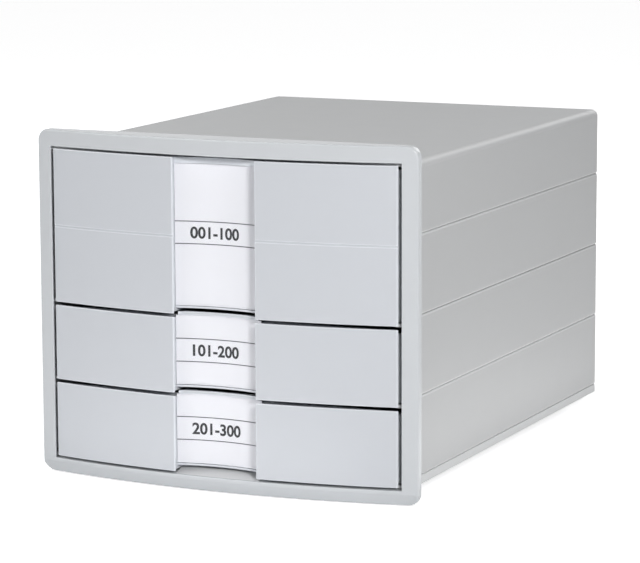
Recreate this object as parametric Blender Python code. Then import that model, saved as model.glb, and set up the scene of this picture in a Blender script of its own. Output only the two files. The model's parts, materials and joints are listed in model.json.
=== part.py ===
# Desktop file drawer: a stacked housing with a bowed front frame and three
# sliding drawers. The front faces -Y, the box stands on Z = 0, and the origin
# is below the middle of the whole box. All lengths are metres.
import math

import bmesh
import bpy

# Whole box
FRAME_WIDTH = 0.2820
OVERALL_DEPTH = 0.3840
STOREY_PITCH = 0.0540
FRONT_BOW = 0.0165            # the front's middle stands this far ahead of its ends
FRAME_LIFT = 0.0010           # the frame's lower edge clears the desk

# Front frame
SIDE_RAIL = 0.0110
TOP_RAIL = 0.0113
BOTTOM_RAIL = 0.0102
FRAME_DEPTH = 0.0225          # from the front's middle to the frame's rear face
FRAME_CORNER_RADIUS = 0.0080
SEAT_DEPTH = 0.0050           # how far the housing plugs into the frame
LIP_HEIGHT = 0.0080           # sloping band along the frame's lower edge
LIP_SET_BACK = 0.0030
RAIL_WALL = 0.0020
RAIL_POCKETS = 8

# Housing
SHELL_STEP = 0.0060           # the frame stands this far outside the housing's sides
SHELL_WALL = 0.0025
ROOF_THICKNESS = 0.0025
FLOOR_THICKNESS = 0.0020
SHELL_EDGE_RADIUS = 0.0050
INNER_CORNER_RADIUS = 0.0010
BASE_STRIP = 0.0063           # the base shows this much below the lowest joint
BASE_RIM = 0.0005             # the base's edge hangs this far below its floor
JOINT_CHAMFER = 0.0007
SKIRT_THICKNESS = 0.0011      # outer half of a wall's lapped lower edge
TONGUE_HEIGHT = 0.0030
LEDGE_WIDTH = 0.0100
LEDGE_THICKNESS = 0.0022

# Feet
BOSS_RADIUS = 0.0105
BOSS_CLEARANCE = 0.0015       # from the desk to the boss's lower edge
PAD_RADIUS = 0.0080
PAD_HEIGHT = 0.0027
FOOT_INSET_X = 0.0300         # from the housing's side to the foot's middle
FOOT_INSET_Y = 0.0300         # from the housing's front or back

# Drawers, from the bottom up, each with the storeys that it fills
DRAWERS = (("bottom", 1), ("middle", 1), ("top", 2))
DRAWER_GAP = 0.0023
FRONT_GAP_BOTTOM = 0.0018
FRONT_GAP_TOP = 0.0015
FRONT_GAP_SIDE = 0.0017
DRAWER_TRAVEL = 0.2500

# Drawer fronts
FRONT_WALL = 0.0025
GROOVE_DEPTH = 0.0006         # line across a front that is two storeys high
GROOVE_HEIGHT = 0.0012
CHANNEL_HALF_WIDTH = 0.0313   # recessed column between the wings
CHANNEL_RECESS = 0.0055       # at its edges
CHANNEL_BOW = 0.0046          # its middle lies this much deeper
CHANNEL_RISE = 0.0031         # it sits this far above the wings' lower edges
CHANNEL_BACK = 0.0020
CHANNEL_SIDE = 0.0015
LOWER_RIM = 0.0021
UPPER_RIM = 0.0030
TOP_DRAWER_RIM = 0.0048
TOP_COLUMN_DROP = 0.0005      # the top drawer's column ends below its wings' upper edges
CREST_CLEARANCE = 0.0006      # beside the part of a column that rises past its wings
SLOT_DEPTH = 0.0008           # grooves in the wings that hold the cover's edges
COVER_THICKNESS = 0.0010
CARD_THICKNESS = 0.0003
PEG_WIDTH = 0.0018
PEG_HEIGHT = 0.0080
PEG_PLACE_SHARES = (0.30, 0.70)

# Trays
TRAY_SIDE_CLEARANCE = 0.0025  # to the frame's opening
TRAY_RISE = 0.0015            # above the front's lower edge
TRAY_DROP = 0.0030            # below the front's upper edge
TRAY_WALL = 0.0020
TRAY_FLOOR = 0.0020
TRAY_CORNER_RADIUS = 0.0040
TRAY_INNER_RADIUS = 0.0020
REAR_ROOM = 0.0055
LUG_LENGTH = 0.0100
LUG_HEIGHT = 0.0100
LUG_DROP = 0.0050             # below the tray's upper edge
LUG_CLEARANCE = 0.0006        # to the housing's wall

# Fits
CLEARANCE = 0.0003            # between pieces that touch or slide
OVERRUN = 0.0020              # how far a cutter runs past what it cuts
OVERLAP = 0.0010              # how far joined shapes run into each other

# Smoothness of curved faces
BOW_SEGMENTS = 24
WING_SEGMENTS = 8
CHANNEL_SEGMENTS = 12
CORNER_SEGMENTS = 5
ROUND_SEGMENTS = 24

# Finishes: colour, roughness
FINISHES = {
    "frame": ((0.60, 0.61, 0.63), 0.38),
    "housing": ((0.52, 0.53, 0.54), 0.45),
    "front": ((0.60, 0.61, 0.64), 0.38),
    "tray": ((0.55, 0.56, 0.58), 0.50),
    "card": ((0.90, 0.90, 0.92), 0.80),
    "cover": ((0.88, 0.90, 0.93), 0.08),
    "pad": ((0.05, 0.05, 0.05), 0.90),
}

# Sizes that follow from the values above. Depths run from the front's middle to
# the back, and heights of the housing from the desk.
half_frame = FRAME_WIDTH / 2
half_opening = half_frame - SIDE_RAIL
half_front = half_opening - FRONT_GAP_SIDE
half_tray = half_opening - TRAY_SIDE_CLEARANCE
half_shell = half_frame - SHELL_STEP
half_inside = half_shell - SHELL_WALL
half_lug = half_inside - LUG_CLEARANCE
bow_radius = (half_frame ** 2 + FRONT_BOW ** 2) / (2 * FRONT_BOW)
storeys = sum(count for _, count in DRAWERS)

opening_bottom = FRAME_LIFT + BOTTOM_RAIL
lowest_front = opening_bottom + FRONT_GAP_BOTTOM
opening_top = lowest_front + storeys * STOREY_PITCH - DRAWER_GAP + FRONT_GAP_TOP
frame_top = opening_top + TOP_RAIL
seat_plane = FRAME_DEPTH - SEAT_DEPTH
shell_front = seat_plane + CLEARANCE
shell_top = opening_top
ledge_rise = TRAY_RISE - CLEARANCE
floor_top = lowest_front + ledge_rise
base_bottom = floor_top - FLOOR_THICKNESS - BASE_RIM
lowest_joint = base_bottom + BASE_STRIP
lap_inset = SKIRT_THICKNESS + CLEARANCE
rebate_height = TONGUE_HEIGHT + CLEARANCE

pocket_depth = COVER_THICKNESS + CARD_THICKNESS + 2 * CLEARANCE
channel_radius = (CHANNEL_HALF_WIDTH ** 2 + CHANNEL_BOW ** 2) / (2 * CHANNEL_BOW)
tray_front = seat_plane + CLEARANCE
tray_back = OVERALL_DEPTH - SHELL_WALL - REAR_ROOM
lug_front = seat_plane + DRAWER_TRAVEL + CLEARANCE


def bow_depth(x, inset=0.0):
    """Depth of the bowed front at x, or of a face that lies inset behind it."""
    return bow_radius - math.sqrt((bow_radius - inset) ** 2 - x ** 2)


channel_middle = bow_depth(CHANNEL_HALF_WIDTH) + CHANNEL_RECESS + CHANNEL_BOW


def channel_depth(x, inset=0.0):
    """Depth of the hollow label column at x, or of a face inset behind it."""
    centre = channel_middle - channel_radius
    return centre + math.sqrt((channel_radius + inset) ** 2 - x ** 2)


def steps(start, end, count):
    """count + 1 evenly spaced values from start to end."""
    return [start + (end - start) * step / count for step in range(count + 1)]


def arc(centre_a, centre_b, radius, first_degrees, last_degrees):
    """Points of an arc in a plane whose two axes are a and b."""
    points = []
    for degrees in steps(first_degrees, last_degrees, CORNER_SEGMENTS):
        angle = math.radians(degrees)
        points.append((centre_a + radius * math.cos(angle), centre_b + radius * math.sin(angle)))
    return points


def rounded_outline(low_a, high_a, low_b, high_b, radius):
    """A rectangle with round corners, anticlockwise."""
    return (arc(high_a - radius, high_b - radius, radius, 0, 90)
            + arc(low_a + radius, high_b - radius, radius, 90, 180)
            + arc(low_a + radius, low_b + radius, radius, 180, 270)
            + arc(high_a - radius, low_b + radius, radius, 270, 360))


def arched_outline(half_width, low, high, radius):
    """A rectangle whose two upper corners are round."""
    return (arc(half_width - radius, high - radius, radius, 0, 90)
            + arc(radius - half_width, high - radius, radius, 90, 180)
            + [(-half_width, low), (half_width, low)])


def rectangle(low_a, high_a, low_b, high_b):
    return [(low_a, low_b), (high_a, low_b), (high_a, high_b), (low_a, high_b)]


def level_ring(outline, z):
    """An outline in plan, as a closed ring at height z."""
    return [(x, y, z) for x, y in outline]


def upright_ring(outline, y):
    """An outline seen from the front, as a closed ring at depth y."""
    return [(x, y, z) for x, z in outline]


def loft(bm, rings):
    """Extrude a face from ring to ring. The first and last rings close the body."""
    face = bm.faces.new([bm.verts.new(point) for point in rings[0]])
    for number, ring in enumerate(rings[1:]):
        grown = bmesh.ops.extrude_face_region(bm, geom=[face])["geom"]
        if number > 0:
            bm.faces.remove(face)
        face = next(item for item in grown if isinstance(item, bmesh.types.BMFace))
        for vert, point in zip(face.verts, ring):
            vert.co = point


def block(low, high):
    """The two rings of a plain box."""
    outline = rectangle(low[0], high[0], low[1], high[1])
    return [level_ring(outline, low[2]), level_ring(outline, high[2])]


def disc(x, y, radius, low, high):
    """The two rings of a short upright cylinder."""
    outline = []
    for step in range(ROUND_SEGMENTS):
        angle = 2 * math.pi * step / ROUND_SEGMENTS
        outline.append((x + radius * math.cos(angle), y + radius * math.sin(angle)))
    return [level_ring(outline, low), level_ring(outline, high)]


def across(first_x, last_x, count, section):
    """Rings side by side from first_x to last_x. section(x) gives their y, z points."""
    return [[(x, y, z) for y, z in section(x)] for x in steps(first_x, last_x, count)]


def add_object(name, bodies, parent):
    """One object at its parent's origin, made of the bodies given as rings."""
    bm = bmesh.new()
    for rings in bodies:
        loft(bm, rings)
    bmesh.ops.recalc_face_normals(bm, faces=bm.faces)
    mesh = bpy.data.meshes.new(name)
    bm.to_mesh(mesh)
    bm.free()
    item = bpy.data.objects.new(name, mesh)
    item.parent = parent
    bpy.context.scene.collection.objects.link(item)
    return item


def add_piece(name, finish, rings, parent):
    """A piece of the product, with its own material."""
    piece = add_object(name, [rings], parent)
    colour, roughness = FINISHES[finish]
    material = bpy.data.materials.new(name)
    material.use_nodes = True
    shader = material.node_tree.nodes["Principled BSDF"]
    shader.inputs["Base Color"].default_value = (*colour, 1.0)
    shader.inputs["Roughness"].default_value = roughness
    if finish == "cover":
        shader.inputs["Transmission Weight"].default_value = 1.0
    piece.data.materials.append(material)
    piece.data.shade_smooth()
    piece.data.set_sharp_from_angle(angle=math.radians(30))
    return piece


def combine(piece, operation, label, bodies):
    """Join bodies to a piece, or cut them out of it, with a hidden guide. Returns the guide."""
    guide = add_object(f"{piece.name}_{label}", bodies, piece.parent)
    guide.hide_render = True
    guide.display_type = "WIRE"
    modifier = piece.modifiers.new(label, "BOOLEAN")
    modifier.operation = operation
    modifier.object = guide
    return guide


def add_empty(name, location, parent=None):
    empty = bpy.data.objects.new(name, None)
    empty.location = location
    empty.parent = parent
    bpy.context.scene.collection.objects.link(empty)
    return empty


# Housing: walls that are lapped storey on storey

def corner_radius(inset):
    return max(SHELL_EDGE_RADIUS - inset, INNER_CORNER_RADIUS)


def wall_path(inset):
    """Plan of the housing's wall, from its left front end round the back."""
    side = half_shell - inset
    back = OVERALL_DEPTH - inset
    radius = corner_radius(inset)
    return ([(-side, shell_front)]
            + arc(-side + radius, back - radius, radius, 180, 90)
            + arc(side - radius, back - radius, radius, 90, 0)
            + [(side, shell_front)])


def wall_foot(joint):
    """Lower edge of a wall, from its inside to its outside, as inset and height."""
    low = joint + CLEARANCE / 2
    return [(SHELL_WALL, low + rebate_height), (SKIRT_THICKNESS, low + rebate_height),
            (SKIRT_THICKNESS, low), (JOINT_CHAMFER, low), (0.0, low + JOINT_CHAMFER)]


def wall_head(joint):
    """Upper edge of a wall with its tongue, from its outside to its inside."""
    high = joint - CLEARANCE / 2
    return [(0.0, high - JOINT_CHAMFER), (JOINT_CHAMFER, high), (lap_inset, high),
            (lap_inset, high + TONGUE_HEIGHT), (SHELL_WALL, high + TONGUE_HEIGHT)]


def runner_ledge(top):
    """Ledge inside a wall that a drawer slides on."""
    low = top - LEDGE_THICKNESS
    edge = SHELL_WALL + LEDGE_WIDTH
    return [(SHELL_WALL, top), (edge, top), (edge, low), (SHELL_WALL, low)]


def housing_ring(inset, z):
    """Whole plan of the housing, with a spare front wall that is cut away."""
    spare = SHELL_WALL + SHELL_EDGE_RADIUS + OVERRUN
    front = shell_front - spare + min(inset, SHELL_WALL)
    side = half_shell - inset
    outline = rounded_outline(-side, side, front, OVERALL_DEPTH - inset, corner_radius(inset))
    return level_ring(outline, z)


def open_front(piece):
    """Cut the spare front wall off a piece of the housing."""
    low = (-half_frame, -OVERRUN, -OVERRUN)
    high = (half_frame, shell_front, frame_top + OVERRUN)
    combine(piece, "DIFFERENCE", "open_front", [block(low, high)])


def foot_places():
    side = half_shell - FOOT_INSET_X
    front = shell_front + FOOT_INSET_Y
    back = OVERALL_DEPTH - FOOT_INSET_Y
    return {"front_left": (-side, front), "front_right": (side, front),
            "rear_left": (-side, back), "rear_right": (side, back)}


def make_base(housing):
    profile = [(SHELL_WALL, floor_top), *reversed(wall_head(lowest_joint)),
               (0.0, base_bottom + JOINT_CHAMFER), (JOINT_CHAMFER, base_bottom),
               (SHELL_WALL, base_bottom), (SHELL_WALL, base_bottom + BASE_RIM)]
    base = add_piece("base_tray", "housing", [housing_ring(*point) for point in profile], housing)
    open_front(base)
    boss_top = floor_top - FLOOR_THICKNESS / 2
    bosses = []
    recesses = []
    for x, y in foot_places().values():
        bosses.append(disc(x, y, BOSS_RADIUS, BOSS_CLEARANCE, boss_top))
        recesses.append(disc(x, y, PAD_RADIUS + CLEARANCE, -OVERRUN, PAD_HEIGHT + CLEARANCE))
    combine(base, "UNION", "bosses", bosses)
    combine(base, "DIFFERENCE", "pad_recesses", recesses)


def make_feet(housing):
    for place, (x, y) in foot_places().items():
        add_piece(f"foot_{place}", "pad", disc(x, y, PAD_RADIUS, 0.0, PAD_HEIGHT), housing)


def drawer_levels():
    """Name, first storey, storeys, and height of the front's lower edge of each drawer."""
    levels = []
    first = 0
    for name, count in DRAWERS:
        levels.append((name, first, count, lowest_front + first * STOREY_PITCH))
        first += count
    return levels


def make_storeys(housing):
    ledges = {first: level + ledge_rise for _, first, _, level in drawer_levels()}
    for storey in range(1, storeys):
        joint = lowest_joint + (storey - 1) * STOREY_PITCH
        profile = wall_foot(joint) + wall_head(joint + STOREY_PITCH)
        if storey in ledges:
            profile += runner_ledge(ledges[storey])
        paths = [wall_path(inset) for inset, _ in profile]
        rings = []
        for station in range(len(paths[0])):
            rings.append([(*path[station], z) for path, (_, z) in zip(paths, profile)])
        add_piece(f"storey_shell_{storey}", "housing", rings, housing)


def make_cover(housing):
    ceiling = shell_top - ROOF_THICKNESS
    inner_radius = SHELL_EDGE_RADIUS - SHELL_WALL
    joint = lowest_joint + (storeys - 1) * STOREY_PITCH
    inside = arc(SHELL_WALL + inner_radius, ceiling - inner_radius, inner_radius, 90, 180)
    outside = arc(SHELL_EDGE_RADIUS, shell_top - SHELL_EDGE_RADIUS, SHELL_EDGE_RADIUS, 180, 90)
    profile = inside + wall_foot(joint) + outside
    cover = add_piece("top_cover", "housing", [housing_ring(*point) for point in profile], housing)
    open_front(cover)


# Front frame: a bowed ring that the housing plugs into from behind

def frame_trim_section(x):
    """Everything ahead of the bowed front and of the sloping lower band."""
    slope_end = LIP_SET_BACK * (LIP_HEIGHT + OVERRUN) / LIP_HEIGHT
    lip_top = FRAME_LIFT + LIP_HEIGHT
    return [(-2 * OVERRUN, frame_top + OVERRUN), (bow_depth(x), frame_top + OVERRUN),
            (bow_depth(x), lip_top), (bow_depth(x, slope_end), FRAME_LIFT - OVERRUN),
            (-2 * OVERRUN, FRAME_LIFT - OVERRUN)]


def rail_pockets(low, high):
    """Hollows in the rear of a rail, with ribs between them."""
    pitch = 2 * half_opening / RAIL_POCKETS
    pockets = []
    for number in range(RAIL_POCKETS):
        left = -half_opening + number * pitch + RAIL_WALL / 2
        right = left + pitch - RAIL_WALL
        pockets.append(block((left, seat_plane, low), (right, FRAME_DEPTH + OVERRUN, high)))
    return pockets


def make_frame(housing):
    outline = rounded_outline(-half_frame, half_frame, FRAME_LIFT, frame_top, FRAME_CORNER_RADIUS)
    rings = [upright_ring(outline, -OVERRUN), upright_ring(outline, FRAME_DEPTH)]
    frame = add_piece("front_frame", "frame", rings, housing)
    reach = half_frame + OVERRUN
    trim = across(-reach, reach, BOW_SEGMENTS, frame_trim_section)
    combine(frame, "DIFFERENCE", "bowed_face", [trim])
    low = (-half_opening, -2 * OVERRUN, opening_bottom)
    high = (half_opening, FRAME_DEPTH + OVERRUN, opening_top)
    combine(frame, "DIFFERENCE", "opening", [block(low, high)])
    seat = arched_outline(half_shell + CLEARANCE, base_bottom - CLEARANCE,
                          shell_top + CLEARANCE, SHELL_EDGE_RADIUS)
    seat_rings = [upright_ring(seat, seat_plane), upright_ring(seat, FRAME_DEPTH + OVERRUN)]
    combine(frame, "DIFFERENCE", "seat", [seat_rings])
    upper = rail_pockets(shell_top + CLEARANCE + RAIL_WALL, frame_top - RAIL_WALL)
    lower = rail_pockets(FRAME_LIFT + RAIL_WALL, base_bottom - CLEARANCE - RAIL_WALL)
    combine(frame, "DIFFERENCE", "rail_pockets", upper + lower)


# Drawers: heights here run from the lower edge of the drawer's own front

def front_height(count):
    return count * STOREY_PITCH - DRAWER_GAP


def channel_span(count, is_top):
    """Lower and upper edges of the recessed column."""
    if is_top:
        return CHANNEL_RISE, front_height(count) - TOP_COLUMN_DROP
    return CHANNEL_RISE, front_height(count) + CHANNEL_RISE


def label_span(count, is_top):
    """Lower and upper edges of the label pocket between its rims."""
    low, high = channel_span(count, is_top)
    return low + LOWER_RIM, high - (TOP_DRAWER_RIM if is_top else UPPER_RIM)


def wing_rings(side, height, wall=0.0):
    """A wing's solid, or with a wall its hollow, which is open to the rear."""
    rear = seat_plane + (OVERRUN if wall else 0.0)

    def section(x):
        return rectangle(bow_depth(x, wall), rear, wall, height - wall)

    first_x = side * (CHANNEL_HALF_WIDTH + wall)
    last_x = side * (half_front - wall)
    return across(first_x, last_x, WING_SEGMENTS, section)


def column_rings(half_width, near, far, low, high):
    """A strip that follows the column, between two insets or to a flat rear."""
    def section(x):
        rear = channel_depth(x, far) if far is not None else seat_plane
        return rectangle(channel_depth(x, near), rear, low, high)

    return across(-half_width, half_width, CHANNEL_SEGMENTS, section)


def column_hollow(low, high):
    half_width = CHANNEL_HALF_WIDTH - CHANNEL_SIDE

    def section(x):
        near = channel_depth(x, pocket_depth + CHANNEL_BACK)
        return rectangle(near, seat_plane + OVERRUN, low + CHANNEL_BACK, high - CHANNEL_BACK)

    return across(-half_width, half_width, CHANNEL_SEGMENTS, section)


def crest_trims(height, high):
    """What a column loses at both sides where it rises between the wings above it."""
    near = CHANNEL_HALF_WIDTH - CREST_CLEARANCE
    far = CHANNEL_HALF_WIDTH + OVERLAP + OVERRUN
    trims = []
    for left, right in ((-far, -near), (near, far)):
        low = (left, 0.0, height - FRONT_WALL / 2)
        trims.append(block(low, (right, seat_plane + OVERRUN, high + OVERRUN)))
    return trims


def peg_blocks(height, rear, spare):
    """Pegs behind the wings' inner walls, or with spare the slots that take them."""
    blocks = []
    for side in (-1, 1):
        x = side * (CHANNEL_HALF_WIDTH + FRONT_WALL / 2)
        for share in PEG_PLACE_SHARES:
            z = share * height
            low = (x - PEG_WIDTH / 2 - spare, seat_plane - OVERLAP, z - PEG_HEIGHT / 2 - spare)
            high = (x + PEG_WIDTH / 2 + spare, rear, z + PEG_HEIGHT / 2 + spare)
            blocks.append(block(low, high))
    return blocks


def make_front(name, count, is_top, parent):
    height = front_height(count)
    low, high = channel_span(count, is_top)
    label_low, label_high = label_span(count, is_top)
    front = add_piece(f"{name}_front", "front", wing_rings(1, height), parent)
    combine(front, "UNION", "left_wing", [wing_rings(-1, height)])
    column = column_rings(CHANNEL_HALF_WIDTH + OVERLAP, 0.0, None, low, high)
    column_guide = combine(front, "UNION", "column", [column])
    if high > height:
        combine(column_guide, "DIFFERENCE", "crest", crest_trims(height, high))
    hollows = [wing_rings(1, height, FRONT_WALL), wing_rings(-1, height, FRONT_WALL),
               column_hollow(low, high)]
    combine(front, "DIFFERENCE", "hollows", hollows)
    pocket = column_rings(CHANNEL_HALF_WIDTH + SLOT_DEPTH, -CLEARANCE, pocket_depth,
                          label_low, label_high)
    combine(front, "DIFFERENCE", "label_pocket", [pocket])
    combine(front, "UNION", "pegs", peg_blocks(height, tray_front + TRAY_WALL, 0.0))
    if count > 1:
        combine(front, "DIFFERENCE", "storey_lines", [groove_rings(line) for line in range(1, count)])


def groove_rings(line):
    """A shallow line across both wings, where a single drawer's edge would be."""
    middle = line * STOREY_PITCH - DRAWER_GAP / 2
    low = middle - GROOVE_HEIGHT / 2
    high = middle + GROOVE_HEIGHT / 2

    def section(x):
        return rectangle(bow_depth(x) - OVERRUN, bow_depth(x, GROOVE_DEPTH), low, high)

    reach = half_front + OVERRUN
    return across(-reach, reach, BOW_SEGMENTS, section)


def make_label(name, count, is_top, parent):
    low, high = label_span(count, is_top)
    half_width = CHANNEL_HALF_WIDTH + SLOT_DEPTH - CLEARANCE
    span = (low + CLEARANCE, high - CLEARANCE)
    card_near = COVER_THICKNESS + CLEARANCE
    card = column_rings(half_width, card_near, card_near + CARD_THICKNESS, *span)
    add_piece(f"{name}_label_card", "card", card, parent)
    cover = column_rings(half_width, 0.0, COVER_THICKNESS, *span)
    add_piece(f"{name}_label_cover", "cover", cover, parent)


def tray_ring(inset, radius, z):
    outline = rounded_outline(-half_tray + inset, half_tray - inset,
                              tray_front + inset, tray_back - inset, radius)
    return level_ring(outline, z)


def make_tray(name, count, parent):
    height = front_height(count)
    top = height - TRAY_DROP
    rings = [tray_ring(0.0, TRAY_CORNER_RADIUS, TRAY_RISE),
             tray_ring(0.0, TRAY_CORNER_RADIUS, top),
             tray_ring(TRAY_WALL, TRAY_INNER_RADIUS, top),
             tray_ring(TRAY_WALL, TRAY_INNER_RADIUS, TRAY_RISE + TRAY_FLOOR)]
    tray = add_piece(f"{name}_tray", "tray", rings, parent)
    lugs = []
    for near, far in ((-half_lug, -half_tray + OVERLAP), (half_tray - OVERLAP, half_lug)):
        low = (near, lug_front, top - LUG_DROP - LUG_HEIGHT)
        high = (far, lug_front + LUG_LENGTH, top - LUG_DROP)
        lugs.append(block(low, high))
    combine(tray, "UNION", "stop_lugs", lugs)
    slots = peg_blocks(height, tray_front + TRAY_WALL + OVERRUN, CLEARANCE)
    combine(tray, "DIFFERENCE", "peg_slots", slots)


def make_drawers(housing):
    levels = drawer_levels()
    for name, first, count, level in levels:
        is_top = first + count == storeys
        slide = add_empty(f"{name}_slide", (0.0, 0.0, level), housing)
        make_tray(f"{name}_drawer", count, slide)
        make_front(f"{name}_drawer", count, is_top, slide)
        make_label(f"{name}_drawer", count, is_top, slide)


def main():
    for item in list(bpy.data.objects):
        bpy.data.objects.remove(item, do_unlink=True)
    housing = add_empty("housing", (0.0, -OVERALL_DEPTH / 2, 0.0))
    make_base(housing)
    make_feet(housing)
    make_storeys(housing)
    make_cover(housing)
    make_frame(housing)
    make_drawers(housing)


main()
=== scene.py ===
# Desktop file drawer: the looks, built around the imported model
import json
import math

import bmesh
import bpy
from mathutils import Matrix, Vector


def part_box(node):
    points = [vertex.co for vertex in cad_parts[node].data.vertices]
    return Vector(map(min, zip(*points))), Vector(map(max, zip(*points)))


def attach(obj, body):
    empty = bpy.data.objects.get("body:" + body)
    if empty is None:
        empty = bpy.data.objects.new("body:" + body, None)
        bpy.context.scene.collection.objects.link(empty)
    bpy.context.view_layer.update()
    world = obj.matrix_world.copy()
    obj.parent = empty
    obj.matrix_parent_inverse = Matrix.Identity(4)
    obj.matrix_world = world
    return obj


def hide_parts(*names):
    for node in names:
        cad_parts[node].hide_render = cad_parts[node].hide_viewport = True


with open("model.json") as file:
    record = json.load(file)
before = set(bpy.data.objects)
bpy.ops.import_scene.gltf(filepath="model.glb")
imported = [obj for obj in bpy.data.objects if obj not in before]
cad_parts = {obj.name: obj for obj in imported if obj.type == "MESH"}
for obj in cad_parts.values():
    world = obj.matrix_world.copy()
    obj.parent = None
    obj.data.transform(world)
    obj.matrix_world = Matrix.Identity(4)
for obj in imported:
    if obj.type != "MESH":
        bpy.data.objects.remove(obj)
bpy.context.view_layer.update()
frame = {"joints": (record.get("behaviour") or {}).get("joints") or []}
print("packed model loaded")

toRight, toBack, toTop = Vector((1, 0, 0)), Vector((0, 1, 0)), Vector((0, 0, 1))
tiny = 1e-7              # metres, for cuts that fall on a vertex
nudge = tiny * 9         # takes in vertices that lie on a limit
samePlace = 1e-5         # metres
steepShare = 0.5         # of a direction in a normal, under which a face stands along it
edgeBands = (0.0005, 0.0011)     # loops this far from a rounded edge keep its painted highlight off the flat faces

# The camera comes first. Angles are in degrees, lens and sensor in millimetres.
camera = {
    "place": (0.9036, -1.9982, 0.4708),
    "yaw": 24.56,
    "pitch": 9.18,
    "roll": -0.23,
    "lens": 173.1,
    "sensor": 36.0,
    "sees": 100.0,               # metres
}


def addCamera():
    lens = bpy.data.cameras.new("camera")
    lens.lens = camera["lens"]
    lens.sensor_width = camera["sensor"]
    lens.clip_end = camera["sees"]
    eye = bpy.data.objects.new("camera", lens)
    turn = Matrix.Rotation(math.radians(camera["yaw"]), 4, "Z")
    tilt = Matrix.Rotation(math.radians(90 - camera["pitch"]), 4, "X")
    roll = Matrix.Rotation(math.radians(camera["roll"]), 4, "Z")
    eye.matrix_world = Matrix.Translation(camera["place"]) @ turn @ tilt @ roll
    bpy.context.scene.collection.objects.link(eye)
    bpy.context.scene.camera = eye


addCamera()
print("camera set")


# Finishes
def startMaterial(name):
    material = bpy.data.materials.new(name)
    material.use_nodes = True
    nodes = material.node_tree.nodes
    return material, nodes, material.node_tree.links, nodes["Principled BSDF"]


def noiseOn(nodes, links, place, scale, detail):
    noise = nodes.new("ShaderNodeTexNoise")
    noise.inputs["Scale"].default_value = scale
    noise.inputs["Detail"].default_value = detail
    links.new(place.outputs["Object"], noise.inputs["Vector"])
    return noise.outputs["Fac"]


def spread(nodes, links, source, low, high, start=0.0, end=1.0):
    fit = nodes.new("ShaderNodeMapRange")
    fit.inputs["From Min"].default_value = start
    fit.inputs["From Max"].default_value = end
    fit.inputs["To Min"].default_value = low
    fit.inputs["To Max"].default_value = high
    links.new(source, fit.inputs["Value"])
    return fit.outputs["Result"]


def shadeColour(nodes, links, colour, factor):
    shade = nodes.new("ShaderNodeVectorMath")
    shade.operation = "SCALE"
    shade.inputs[0].default_value = colour
    links.new(factor, shade.inputs["Scale"])
    return shade.outputs["Vector"]


def mixColours(nodes, links, factor, first, second):
    mix = nodes.new("ShaderNodeMix")
    mix.data_type = "RGBA"
    links.new(factor, mix.inputs["Factor"])
    links.new(first, mix.inputs["A"])
    mix.inputs["B"].default_value = (*second, 1)
    return mix.outputs["Result"]


def roughen(nodes, links, shader, source, strength, height):
    bump = nodes.new("ShaderNodeBump")
    bump.inputs["Strength"].default_value = strength
    bump.inputs["Distance"].default_value = height
    links.new(source, bump.inputs["Height"])
    links.new(bump.outputs["Normal"], shader.inputs["Normal"])


# Moulded plastic: faint cloudiness, a fine eroded grain, and a painted highlight on its rounded edges
plastic = {
    "cloudScale": 14.0,
    "cloudDetail": 3.0,
    "cloudSpan": 0.008,
    "grainScale": 1900.0,
    "grainDetail": 2.0,
    "grainHeight": 0.00004,
    "smearScale": 60.0,
    "smearDetail": 4.0,
    "smearSpan": 0.03,
    "edgeStart": 0.505,          # pointiness where the painted highlight on an edge starts, and where it is full
    "edgeEnd": 0.530,
}


def makePlastic(name, colour, roughness, grain, edgeHighlight):
    look = plastic
    material, nodes, links, shader = startMaterial(name)
    place = nodes.new("ShaderNodeTexCoord")
    cloud = noiseOn(nodes, links, place, look["cloudScale"], look["cloudDetail"])
    body = shadeColour(nodes, links, colour,
                       spread(nodes, links, cloud, 1 - look["cloudSpan"], 1 + look["cloudSpan"]))
    # Rounded edges are lightened by their pointiness: a painted highlight
    edge = nodes.new("ShaderNodeNewGeometry").outputs["Pointiness"]
    highlighted = spread(nodes, links, edge, 0.0, 1.0, look["edgeStart"], look["edgeEnd"])
    highlightColour = [part * edgeHighlight for part in colour]
    links.new(mixColours(nodes, links, highlighted, body, highlightColour), shader.inputs["Base Color"])
    smear = noiseOn(nodes, links, place, look["smearScale"], look["smearDetail"])
    links.new(spread(nodes, links, smear, roughness - look["smearSpan"], roughness + look["smearSpan"]),
              shader.inputs["Roughness"])
    fine = noiseOn(nodes, links, place, look["grainScale"], look["grainDetail"])
    roughen(nodes, links, shader, fine, grain, look["grainHeight"])
    return material


# Name, colour, roughness, strength of the grain, and how much lighter the painted highlight makes a
# rounded edge
framePlastic = makePlastic("frame plastic", (0.590, 0.608, 0.628), 0.24, 0.20, 1.06)
# The housing plastic is darker than the frame's as painted shade for the lid and sides, which face the
# lamps less
housingPlastic = makePlastic("housing plastic", (0.504, 0.509, 0.513), 0.47, 0.30, 1.30)
frontPlastic = makePlastic("front plastic", (0.590, 0.608, 0.642), 0.31, 0.22, 1.26)
trayPlastic = makePlastic("tray plastic", (0.540, 0.555, 0.575), 0.45, 0.30, 1.20)

# Label paper with thin printed lines at given heights
paper = {
    "colour": (0.88, 0.88, 0.92),
    "ink": (0.055, 0.055, 0.07),
    "lines": (0.0338, 0.0495, 0.0875, 0.1032, 0.1677, 0.1829),
    "lineHalf": 0.00032,
    "lineSoft": 0.00008,
    "fibreScale": 900.0,
    "fibreDetail": 5.0,
    "fibreStrength": 0.3,
    "fibreHeight": 0.00002,
    "shades": (0.985, 1.015),
    "roughness": (0.62, 0.78),
}


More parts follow.
